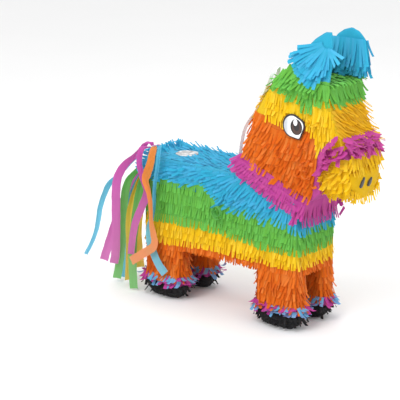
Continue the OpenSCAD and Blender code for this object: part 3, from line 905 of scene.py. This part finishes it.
muzzleZone = [(236, 302), (262, 314), (284, 330), (302, 334), (302, 284), (238, 284)]
muzzleTop = [(232, 298), (262, 314), (284, 330), (303, 334)]
muzzleRows = sideRows(muzzleZone, muzzleTop, ([230, 300], [80, 100]), 6, step=10.0, pitch=8.0, half=43)
for side in (-1, 1):
    for y, z, size in ((42, 286, 0.9), (34, 275, 0.7), (26, 264, 0.5)):
        muzzleRows.append(row([(238, side * y, z), (303, side * y, z)], (0, side * 0.8, -0.6),
                              (-0.1, -side * 0.5, -0.8), 8.0, size))
muzzleRows += [row([(x, -20, 259), (x, 20, 259)], (0, 0, -1), (-1, 0, 0), 8.0)
               for x in (300, 288, 276, 264, 252)]
fringe("tissueMuzzle", muzzleRows, "yellow", "fringe_muzzle_yellow",
       length=25.0, pitch=8.5, header=2.0, tiltLow=0.05, tiltHigh=0.5, curlLow=-0.4, curlHigh=1.5,
       twist=1.0, skew=0.6, spread=0.35)
noseRows = [row([(300, -43, z), (300, 43, z)], (1, 0, 0), (0.1, 0, -1), 4.6) for z in (341, 330)]
noseRows += [row([(305, -36, 276), (305, -18, 264), (305, 20, 263), (305, 40, 280)],
                 (1, 0, 0), (0, 0, -1), 7.0, 0.55)]
fringe("tissueNose", noseRows, "yellow", "fringe_muzzle_yellow",
       length=32.0, pitch=4.6, tiltHigh=0.25, curlHigh=0.4, skew=0.3, gap=0.25)


# The muzzle's front, narrower at the chin
padSettings = dict(across=36, up=26, face=300, back=299.4, bulge=7.4, middle=283, halfHeight=27,
                   halfWidth=43.5, chinHalf=19.5)


def muzzlePad():
    across, up, points = padSettings["across"], padSettings["up"], []
    for r in range(up):
        for c in range(across):
            u, v = c / (across - 1) * 2 - 1, r / (up - 1) * 2 - 1
            z = padSettings["middle"] + padSettings["halfHeight"] * v
            half = float(np.interp(z, (256, 288), (padSettings["chinHalf"], padSettings["halfWidth"])))
            bulge = (1 - abs(u) ** 5) * (1 - abs(v) ** 5)
            points.append([padSettings["face"] + padSettings["bulge"] * bulge, half * u, z])
    points = np.array(points)
    points[:, 0] += crumple(points, 1.1, 0.06, 5.0) - 0.9
    front = gridFaces(up, across)
    back = points.copy()
    back[:, 0] = padSettings["back"]
    total = len(points)
    faces = front + [tuple(i + total for i in f[::-1]) for f in front]
    grid = np.arange(total).reshape(up, across)
    rim = [int(i) for i in (*grid[0], *grid[1:, -1], *grid[-1, -2::-1], *grid[-2:0:-1, 0])]
    faces += [(a, a + total, b + total, b) for a, b in zip(rim, rim[1:] + rim[:1])]
    return meshObject("muzzlePaper", np.vstack([points, back]), faces)


dressed(muzzlePad(), paper["yellow"], "body", "yellow_tissue", "fringe_muzzle_yellow")
print("head done")


# Ears: a pad of paper with strips on both faces
def earPad(name, ear):
    outline = np.array(ear["outline"], float)
    outline = np.vstack([outline, outline[:1]])
    edge = resampled(outline, 4.0)
    outer = [(0.0, 5.0), (0.5, 4.6), (0.8, 4.0), (0.93, 3.2), (1.0, 1.8)]
    rings = []
    for scale, depth in outer + [(1.03, 0.0)] + [(scale, -depth) for scale, depth in outer[::-1]]:
        ring = earMiddle + (edge - earMiddle) * scale
        rings.append(earPoint(ear, ring[:, 0], depth, np.maximum(ring[:, 1], earFootZ - 3))[0])
    points = np.vstack(rings)
    points += np.array([0, 1, 0]) * crumple(points, 0.7, 0.06)[:, None]
    faces = gridFaces(len(rings), len(edge), closed=True)
    return meshObject(name, points, faces)


def earRows(ear, lines, face, pitch):
    rows = []
    for x, z, hx, hz in lines:
        points, outwards, up = earPoint(ear, x, face * earFace, z)
        hang = hx[:, None] * np.array([1, 0, 0]) + hz[:, None] * up
        rows.append(row(points, outwards * face, hang, pitch))
    return rows


def fanLine(radius, start, end, centre=(234, 530)):
    a = np.radians(np.linspace(start, end, 40))
    return centre[0] + radius * np.cos(a), centre[1] + radius * np.sin(a), np.cos(a), np.sin(a)


def levelLine(z, x0, x1):
    x = np.linspace(x0, x1, 40)
    return x, 0 * x + z, 0.40 * ((x - 215) / 55) ** 3, 0 * x - 1


earStrips = dict(header=5.0, skew=0.16, tiltHigh=0.2, curlLow=-0.1, curlHigh=0.35, spread=0.3, gap=0.05)
for label, ear in earShapes.items():
    near = label == "right"
    pad = earPad("earPaper" + label.title(), ear)
    dressed(pad, paper["blue"], "body", "blue_tissue", f"fringe_ear_{label}")
    if near:
        sets = [("Fan", [fanLine(12, 193, 292), fanLine(24, 196, 285)], 1, 2.3, 51),
                ("FanLow", [fanLine(42, 203, 274), fanLine(54, 206, 268)], 1, 3.4, 35),
                ("Front", [fanLine(10, 308, 345, (232, 520))], 1, 2.0, 44),
                ("Back", [levelLine(z, 185, 244) for z in (520, 505, 490)], -1, 4.8, 30)]
    else:
        sets = [("Inner", [levelLine(525, 198, 266), levelLine(512, 190, 266)], -1, 4.6, 50),
                ("InnerLow", [levelLine(498, 180, 266), levelLine(486, 172, 266)], -1, 4.8, 30),
                ("Outer", [levelLine(z, 190, 266) for z in (522, 508, 494, 482)], 1, 4.8, 32)]
    for kind, lines, face, pitch, length in sets:
        fringe(f"tissueEar{label.title()}{kind}", earRows(ear, lines, face, pitch),
               "blue", f"fringe_ear_{label}", length=float(length), taper=-0.15 if near else 0.0, **earStrips)
print("ears done")


# Streamers: paper ribbons gathered at the tie
def rounded(path, steps):
    p = np.array(path, float)
    p = np.vstack([2 * p[0] - p[1], p, 2 * p[-1] - p[-2]])
    points = []
    for i in range(1, len(p) - 2):
        for k in range(steps):
            t = k / steps
            points.append(0.5 * (2 * p[i] + (p[i + 1] - p[i - 1]) * t
                                 + (2 * p[i - 1] - 5 * p[i] + 4 * p[i + 1] - p[i + 2]) * t ** 2
                                 + (3 * p[i] - p[i - 1] - 3 * p[i + 1] + p[i + 2]) * t ** 3))
    points.append(p[-2])
    return np.array(points)


streamerWidth = dict(root=8, full=17)


def streamer(name, spec, seed, folds):
    first, last, route = spec
    path = rounded(route, 5)
    along = unit(np.gradient(path, axis=0))
    t = np.linspace(0, 1, len(path))
    yaw = np.radians(first + (last - first) * np.minimum(1, t * 1.6))
    aim = np.column_stack([np.cos(yaw), np.sin(yaw), 0 * yaw])
    face = unit(np.cross(along, aim))
    across = np.cross(face, along)
    width = np.interp(t, [0, 0.2], [streamerWidth["root"], streamerWidth["full"]])
    wave = 1.2 * t * np.sin(t * (9 + seed % 4) + seed * 1.7)
    fold = np.radians(np.interp(t, *zip(*folds)))
    columns = []
    for u in np.linspace(-0.5, 0.5, 9):
        cup = 0.9 * (0.25 - u * u) * 4 * (1 if seed % 2 else -1)
        edge = 0.25 * np.sin(np.arange(len(path)) * 1.9 + seed) * (abs(u) > 0.45)
        beside, lifted = u * width * np.cos(fold) + edge, abs(u) * width * np.sin(fold) + wave + cup
        columns.append(path + across * beside[:, None] + face * lifted[:, None])
    points = np.stack(columns, axis=1).reshape(-1, 3)
    length = float(reachOf(path)[-1])
    return meshObject(name, points, gridFaces(len(path), 9)), length, float(width.mean())


# Body, colour, node, and for each streamer the yaw at its root and end, and its route
streamerSets = dict(
    tailPink=("tail", "pink", "tail_pink", [
        (90, 40, [
            (-177, -16, 278), (-180, -17, 285), (-193, -20, 284), (-204, -30, 264), (-224, -43, 240),
            (-234, -53, 216), (-234, -59, 190), (-232, -62, 152), (-232, -63, 108), (-234, -63, 64),
            (-239, -63, 42)]),
        (90, 30, [
            (-183.5, -4, 270), (-213, -5, 236), (-240, -10, 195), (-259, -15, 150), (-273, -22, 105),
            (-285, -27, 65), (-296, -30, 30)]),
    ]),
    tailBlue=("tail", "blue", "tail_blue", [
        (78, 84, [
            (-182, -15, 275), (-209, -18, 258), (-230, -23, 241), (-252, -29, 216), (-266, -40, 199),
            (-272, -51, 180), (-279, -61, 150), (-283, -68, 112), (-294, -72, 78), (-307.4, -74, 52)]),
        (90, 25, [
            (-181, -5, 265), (-208, -7, 228), (-234, -12, 172), (-243, -18, 113), (-243, -27, 55),
            (-243, -34, 6)]),
    ]),
    tailGreen=("tail", "green", "tail_green", [
        (90, 38, [
            (-183.5, -15, 268), (-205, -22, 238), (-227, -31, 207), (-233, -38, 166),
            (-230, -43, 110), (-236, -47, 52), (-243, -50, 8)]),
        (90, 35, [
            (-178, -5, 263.5), (-200, -8, 225), (-216, -14, 180), (-224, -20, 130), (-225, -25, 80),
            (-226, -29, 8)]),
        (90, 30, [
            (-174, -15, 263), (-179, -34, 236), (-181, -50, 200), (-183, -59, 150), (-186, -65, 92),
            (-185, -67, 42), (-182, -68, 4)]),
        (90, 140, [
            (-182, 3, 274), (-200, 14, 246), (-216, 30, 200), (-226, 46, 150), (-230, 62, 90),
            (-234, 76.6, 22)]),
    ]),
    tailYellow=("tail", "yellow", "tail_yellow", [
        (90, 45, [
            (-180, -15, 264), (-194, -26, 231), (-206, -38, 191), (-211, -46, 142), (-205, -53, 86),
            (-206, -57, 14)]),
        (90, 30, [
            (-175, -5, 263), (-184, -20, 225), (-189, -34, 180), (-192, -44, 124), (-187, -47, 78),
            (-183, -46, 42)]),
        (90, 150, [
            (-180, 3, 264), (-198, 12, 222), (-206, 26, 170), (-210, 40, 110), (-212, 50, 40)]),
    ]),
    drapePink=("body", "pink", "drape_pink", [
        (20, 5, [
            (-168, -32, 279.5), (-166, -48, 280.5), (-162, -63, 278), (-160, -70, 258),
            (-152, -69, 228), (-144, -69, 204), (-155, -72, 172), (-168, -74, 142), (-176, -75, 107),
            (-181, -75, 74)]),
    ]),
    drapeOrange=("body", "orange", "drape_orange", [
        (35, 0, [
            (-159, -31, 281.5), (-147, -46, 283), (-134, -63, 281), (-131, -73, 262),
            (-139, -74, 242), (-142, -74, 228), (-131, -75, 207), (-124, -77, 184), (-122, -78, 151),
            (-119, -79, 125), (-121, -79, 103), (-145, -80, 85), (-176, -80, 64)]),
    ]),
    drapeBlue=("body", "blue", "drape_blue", [
        (35, 8, [
            (-151, -30, 284), (-134, -45, 286), (-119, -62, 282), (-115, -69, 262), (-120, -69, 235),
            (-124, -68, 211), (-126, -68, 173), (-137, -68, 137), (-138, -69, 113), (-130, -70, 93),
            (-115, -71, 68), (-99, -72, 52)]),
    ]),
)
# Degrees by which a streamer is folded along its middle, from its root to its end
foldsOf = dict(
    drapeBlue1=[(0, 30), (0.15, 62), (0.55, 66), (0.7, 20), (1, 4)],
    drapeOrange1=[(0, 20), (0.2, 35), (0.35, 12), (0.5, 50), (0.66, 52), (0.78, 6), (1, 10)],
    drapePink1=[(0, 10), (0.18, 48), (0.4, 40), (0.55, 8), (1, 25)],
    tailBlue1=[(0, 15), (0.5, 20), (0.8, 45), (1, 68)],
    tailPink1=[(0, 5), (0.25, 42), (0.4, 10), (1, 6)], tailPink2=[(0, 40), (0.5, 25), (1, 8)],
    tailGreen1=[(0, 45), (0.4, 20), (0.7, 35), (1, 15)], tailGreen2=[(0, 20), (0.5, 40), (1, 18)],
    tailYellow1=[(0, 40), (0.4, 48), (0.7, 20), (1, 30)])
streamerNumber = 0
for label, (body, colour, node, specs) in streamerSets.items():
    for k, spec in enumerate(specs):
        streamerNumber += 1
        name = f"{label}{k + 1}"
        folds = foldsOf.get(name, [(0, 35), (0.6, 15), (1, 20)])
        piece, length, width = streamer(name, spec, streamerNumber, folds)
        dressed(piece, paper[colour + "Streamer"], body, colour + "_streamer", node)
        length * mm
        length * width * mm * mm
        print("streamer", piece.name, round(length), "mm")


# Tie, seal and ribbon
knotSettings = dict(x=-176, z=271, start=-22, length=28, radius=6.6)


def knot():
    rings, sides, points = 17, 20, []
    for r in range(rings):
        v = r / (rings - 1)
        y = knotSettings["start"] + knotSettings["length"] * v
        radius = knotSettings["radius"] * (1 - abs(2 * v - 1) ** 4) ** 0.5 + 0.01
        for a in turnsOf(sides):
            ridge = 1 + 0.07 * math.sin(5 * a + 6 * v) + 0.05 * math.sin(y * 3.1)
            x = knotSettings["x"] + radius * ridge * math.cos(a)
            points.append((x, y, knotSettings["z"] + radius * ridge * math.sin(a)))
    return meshObject("tailKnot", points, gridFaces(rings, sides, closed=True))


dressed(knot(), paper["pinkStreamer"], "tail", "pink_streamer", "tail_tie")


def sealMaterial():
    material, maker = newMaterial("sealPaper")
    point = maker.objectPoint()
    blots = maker.noise(point, 95.0, 5.0, 0.65)
    fibres = maker.noise(point, 900.0, 3.0, 0.6)
    grey = maker.add("ShaderNodeValToRGB", {"stops": ((0.38, (0.26, 0.26, 0.27)), (0.5, (0.50, 0.50, 0.50)),
                                                       (0.62, (0.72, 0.72, 0.71)))}, {0: blots})
    normal = bumped(maker, fibres, 0.3, 0.0003)
    finishPlain(maker, {"Base Color": grey, "Roughness": 0.62, "Normal": normal})
    return material


def seal():
    rings, sides, points = sealSettings["rings"], sealSettings["sides"], []
    for level, listed in (("top", rings), ("bottom", rings[::-1])):
        for r in listed:
            for a in turnsOf(sides):
                edge = r * (1 + 0.012 * math.sin(7 * a) + 0.010 * math.sin(11 * a + 1))
                lift = 0.35 * math.sin(a * 3) * (r / 22) ** 2
                points.append((sealSettings["x"] + edge * math.cos(a), edge * math.sin(a),
                               sealSettings[level] + lift))
    return meshObject("fillSeal", points, gridFaces(2 * len(rings), sides, closed=True))


dressed(seal(), sealMaterial(), "flap", "seal_paper", "fill_flap")

ribbonRoute = [(28, -5, 277), (32, -10, 293), (42, -18, 320), (54, -25, 346), (67, -29, 364), (86, -32, 386),
               (102, -34, 412), (114, -35, 436), (122, -35, 455), (125, -30, 465), (124, -22, 468),
               (121, -14, 466), (115, -8, 455), (105, -7, 436), (92, -6, 412), (79, -5, 386),
               (65, -4, 362), (52, -2, 340), (42, 0, 315), (36, 3, 293), (33, 5, 277)]
ribbonWidth = 6


def clothMaterial(name, colour, rough):
    material, maker = newMaterial(name)
    point = maker.objectPoint()
    cloud = maker.noise(point, 60.0)
    grain = maker.noise(point, 1400.0, 3.0, 0.6)
    shade = maker.mixed(cloud, (*[c * 0.86 for c in colour], 1), (*colour, 1))
    finishPlain(maker, {"Base Color": shade, "Roughness": rough, "Sheen Weight": 0.3,
                        "Normal": bumped(maker, grain, 0.2, 0.0002)})
    return material


def ribbon():
    path = rounded(ribbonRoute, 5)
    along = unit(np.gradient(path, axis=0))
    face = unit(np.cross(along, np.array([0.77, 0.64, 0.02])))
    across = np.cross(face, along) * ribbonWidth / 2
    points = np.stack([path - across, path + across], axis=1).reshape(-1, 3)
    length = float(reachOf(path)[-1])
    return meshObject("hangRibbon", points, gridFaces(len(path), 2)), path, length


ribbonPiece, ribbonPath, ribbonLength = ribbon()
dressed(ribbonPiece, clothMaterial("ribbonCloth", (0.88, 0.88, 0.90), 0.5), "body", "ribbon", "hang_ribbon")
print("ribbon", round(ribbonLength), "mm")


# Eyes and nostrils. Each printed oval: centre, half sizes, turn and ink
eyeOvals = [(191.6, 375.5, 12.6, 14.2, 8, (0.012, 0.010, 0.010)),
            (192.2, 374.0, 9.6, 11.4, 8, (0.060, 0.026, 0.016)),
            (191.8, 377.0, 6.4, 8.6, 8, (0.014, 0.010, 0.009)),
            (189.5, 383.4, 4.3, 5.8, 0, (0.88, 0.88, 0.88))]
eyeFront, eyeBack = 54.6, 52.6


def eyeMaterial():
    material, maker = newMaterial("printedEye")
    point = maker.objectPoint()
    x = maker.axis(point, "X") * 1000.0
    z = maker.axis(point, "Z") * 1000.0
    rim = maker.attribute("rim")

    def oval(cx, cz, rx, rz, turn):
        c, s = math.cos(math.radians(turn)), math.sin(math.radians(turn))
        u = ((x - cx) * c + (z - cz) * s) / rx
        v = ((z - cz) * c - (x - cx) * s) / rz
        return (u * u + v * v).under(1.0)

    shade = (0.5 + (174.0 - x) * 0.12).most(0.0).least(1.0)
    drawn = maker.mixed(shade, (0.86, 0.86, 0.85, 1), (0.50, 0.53, 0.56, 1))
    for *shape, ink in eyeOvals:
        drawn = maker.mixed(oval(*shape), drawn, (*ink, 1))
    edge = rim.over(0.885 - (z - 372.0) * 0.0012)
    final = maker.mixed(edge, drawn, (0.012, 0.011, 0.011, 1))
    finishPlain(maker, {"Base Color": final, "Roughness": 0.38, "Coat Weight": 0.15})
    return material


def eyeSticker(name, side):
    outline = np.array(eyeOutline(96))
    centre = outline.mean(axis=0)
    scales = [0.0, 0.3, 0.55, 0.72, 0.82, 0.88, 0.93, 0.97, 1.0]
    points, rim = [], []
    for front in (True, False):
        for scale in (scales if front else scales[::-1]):
            for px, pz in centre + (outline - centre) * scale:
                depth = eyeFront - 0.6 * scale ** 2 if front else eyeBack
                points.append((px, side * depth, pz))
                rim.append(scale)
    faces = gridFaces(2 * len(scales), len(outline), closed=True)
    if side < 0:
        faces = [f[::-1] for f in faces]
    piece = meshObject(name, points, faces)
    layer = piece.data.attributes.new("rim", "FLOAT", "POINT")
    layer.data.foreach_set("value", rim)
    return piece


eyePrint = eyeMaterial()
for label, side in (("right", -1), ("left", 1)):
    dressed(eyeSticker("eyeSticker" + label.title(), side), eyePrint, "body", "printed_eye", f"eye_{label}")


# Scale and X of a nostril's rings, from the middle of its front to the middle of its back
nostrilRings = ((0.0, 310.3), (0.6, 310.25), (0.9, 310.1), (1.0, 309.6), (1.0, 307.0), (0.0, 307.0))


def nostril(name, low, high, half):
    points, sides = [], 28
    low, high = np.array(low, float), np.array(high, float)
    along = (high - low) / np.linalg.norm(high - low)
    beside = np.array([along[1], -along[0]])
    reach = np.linalg.norm(high - low) / 2 + half
    for scale, x in nostrilRings:
        for a in turnsOf(sides):
            c, s = math.cos(a), math.sin(a)
            spot = (low + high) / 2 + scale * (along * s * reach + beside * c * half * (1 - 0.25 * s))
            points.append((x, *spot))
    return meshObject(name, points, gridFaces(len(nostrilRings), sides, closed=True))


darkPrint = clothMaterial("darkSticker", (0.035, 0.033, 0.036), 0.45)
for label, low, high in (("Right", (-21.5, 282), (-13.5, 294)), ("Left", (1.5, 281), (8.5, 290))):
    dressed(nostril("nostril" + label, low, high, 3.3), darkPrint, "body", "dark_sticker", "nostrils")


# Card under the fringe, with the tissue that is glued flat on it, in darker colours: painted shade under the
# strips
def underPaper(name, bands, frontBands=None, frontX=0.228):
    material, maker = newMaterial(name)
    point = maker.objectPoint()
    place = maker.axis(point, "X")
    height = maker.axis(point, "Z")
    ragged = height + (maker.noise(point, 60.0) - 0.5) * 0.008

    def banded(listed):
        # Band colours times 0.72: painted shade under and between the strips
        stops = [(z, tuple(c * 0.72 for c in colours[hue])) for z, hue in listed]
        ramp = maker.add("ShaderNodeValToRGB", {"stops": stops}, {0: ragged})
        ramp.socket.node.color_ramp.interpolation = "CONSTANT"
        return ramp

    shade = banded(bands)
    if frontBands:
        shade = maker.mixed(place.over(frontX), shade, banded(frontBands))
    crinkle = maker.noise(point, 260.0, 4.0, 0.6)
    finishPlain(maker, {"Base Color": shade, "Roughness": 0.8, "Specular IOR Level": 0.25,
                        "Normal": bumped(maker, crinkle, 0.5, 0.0008)})
    return material


trunkUnder = underPaper("trunkUnder", ((0.0, "orange"), (0.116, "yellow"), (0.149, "green"), (0.218, "blue")))
headUnder = underPaper("headUnder",
                       ((0.0, "magenta"), (0.285, "orange"), (0.385, "yellow"), (0.432, "green")),
                       ((0.0, "magenta"), (0.345, "yellow"), (0.432, "green")))
legUnder = underPaper("legUnder", ((0.0, "magenta"), (0.042, "orange")))
muzzleUnder = underPaper("muzzleUnder", ((0.0, "yellow"), (0.325, "magenta")))
earUnder = underPaper("earUnder", ((0.0, "green"), (0.474, "blue")), ((0.0, "green"), (0.458, "blue")), 0.185)
cardMaterial = clothMaterial("plainCard", colours["card"], 0.8)
threadMaterial = clothMaterial("cottonThread", (0.05, 0.22, 0.36), 0.75)

trunkStrips = ("belly_strip", "chest_strip", "withers_strip", "back_strip", "rump_strip")
headStrips = ("throat_strip", "face_strip", "crown_strip", "nape_strip")
under = {}
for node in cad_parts:
    if node.startswith("leg_"):
        under[node] = legUnder
    elif node.startswith("ear_"):
        under[node] = earUnder
    elif node in trunkStrips or "trunk" in node:
        under[node] = trunkUnder
    elif node in headStrips or "head_panel" in node:
        under[node] = headUnder
    elif node == "muzzle_box":
        under[node] = muzzleUnder
    elif node == "ribbon_washer":
        under[node] = cardMaterial
    elif node == "tail_thread":
        under[node] = threadMaterial
for node, material in under.items():
    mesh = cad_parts[node].data
    for k in range(len(mesh.materials)):
        mesh.materials[k] = material
print("card done")


# Floor
def floor():
    size, level = 6000, -0.4
    corners = [(x * size, y * size, level) for x, y in ((-1, -1), (1, -1), (1, 1), (-1, 1))]
    piece = meshObject("floor", corners, [(0, 1, 2, 3)])
    material, maker = newMaterial("paleFloor")
    grain = maker.noise(maker.objectPoint(), 3.0)
    grey = maker.mixed(grain, (0.86, 0.86, 0.86, 1), (0.88, 0.88, 0.88, 1))
    finishPlain(maker, {"Base Color": grey, "Roughness": 0.7})
    piece.data.materials.append(material)
    piece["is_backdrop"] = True


floor()
print("floor done")

low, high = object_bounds()
